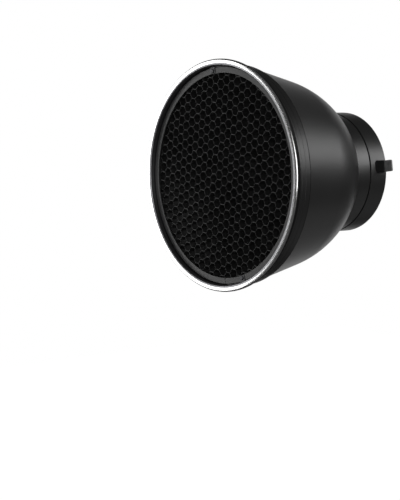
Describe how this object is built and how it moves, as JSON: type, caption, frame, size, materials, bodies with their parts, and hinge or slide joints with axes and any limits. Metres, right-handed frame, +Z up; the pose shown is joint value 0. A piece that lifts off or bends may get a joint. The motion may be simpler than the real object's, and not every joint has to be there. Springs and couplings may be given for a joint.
{
  "type": "studio reflector with honeycomb grid",
  "caption": "Round black studio light reflector dish with a bright rolled rim, a removable honeycomb grid in its mouth and a three-lug bayonet ring behind.",
  "frame": {"origin": "on the optical axis, in the plane of the mount ring's rear face", "axes": "+Y along the optical axis towards the light head, so light leaves towards -Y; +Z up; +X to the right seen from the front"},
  "size_m": [0.18, 0.137, 0.18],
  "materials": {
    "spun_aluminium": "satin black paint outside, bare satin metal inside and on the rolled rim",
    "black_steel": "satin black paint",
    "plain_rivet": "bare",
    "black_anodised": "satin black",
    "black_foil": "matt black",
    "spring_steel": "blackened"
  },
  "bodies": {
    "reflector": {"dish_shell": "spun_aluminium", "mount_ring": "black_steel", "mount_rivets": "plain_rivet"},
    "grid": {"grid_ring": "black_anodised", "foil_ribbon_01": "black_foil", "foil_ribbon_02": "black_foil", "foil_ribbon_03": "black_foil", "foil_ribbon_04": "black_foil", "foil_ribbon_05": "black_foil", "foil_ribbon_06": "black_foil", "foil_ribbon_07": "black_foil", "foil_ribbon_08": "black_foil", "foil_ribbon_09": "black_foil", "foil_ribbon_10": "black_foil", "foil_ribbon_11": "black_foil", "foil_ribbon_12": "black_foil", "foil_ribbon_13": "black_foil", "foil_ribbon_14": "black_foil", "foil_ribbon_15": "black_foil", "foil_ribbon_16": "black_foil", "foil_ribbon_17": "black_foil", "foil_ribbon_18": "black_foil", "foil_ribbon_19": "black_foil", "foil_ribbon_20": "black_foil", "foil_ribbon_21": "black_foil", "foil_ribbon_22": "black_foil", "foil_ribbon_23": "black_foil", "foil_ribbon_24": "black_foil", "foil_ribbon_25": "black_foil", "foil_ribbon_26": "black_foil", "foil_ribbon_27": "black_foil", "foil_ribbon_28": "black_foil", "foil_ribbon_29": "black_foil", "foil_ribbon_30": "black_foil", "foil_ribbon_31": "black_foil", "foil_ribbon_32": "black_foil", "foil_ribbon_33": "black_foil", "foil_ribbon_34": "black_foil", "foil_ribbon_35": "black_foil", "foil_ribbon_36": "black_foil", "foil_ribbon_37": "black_foil", "foil_ribbon_38": "black_foil", "foil_ribbon_39": "black_foil", "foil_ribbon_40": "black_foil", "foil_ribbon_41": "black_foil", "foil_ribbon_42": "black_foil", "foil_ribbon_43": "black_foil", "foil_ribbon_44": "black_foil", "clip_rivet_upper": "black_anodised", "clip_rivet_lower": "black_anodised"},
    "clip_upper": {"spring_clip_upper": "spring_steel"},
    "clip_lower": {"spring_clip_lower": "spring_steel"}
  },
  "joints": [
    {"name": "grid_slide", "type": "slide", "parent": "reflector", "child": "grid", "axis": [0, -1, 0], "range_m": [0, 0.03]},
    {"name": "clip_upper_flex", "type": "hinge", "parent": "grid", "child": "clip_upper", "pos_m": [-0.01203, -0.133, 0.08051], "axis": [0, 1, 0], "range_deg": [0, 1], "stiffness_Nm_per_rad": 0.5, "springref_deg": -2.01},
    {"name": "clip_lower_flex", "type": "hinge", "parent": "grid", "child": "clip_lower", "pos_m": [0.0265, -0.133, -0.07697], "axis": [0, 1, 0], "range_deg": [0, 1], "stiffness_Nm_per_rad": 0.5, "springref_deg": -2.01}
  ]
}
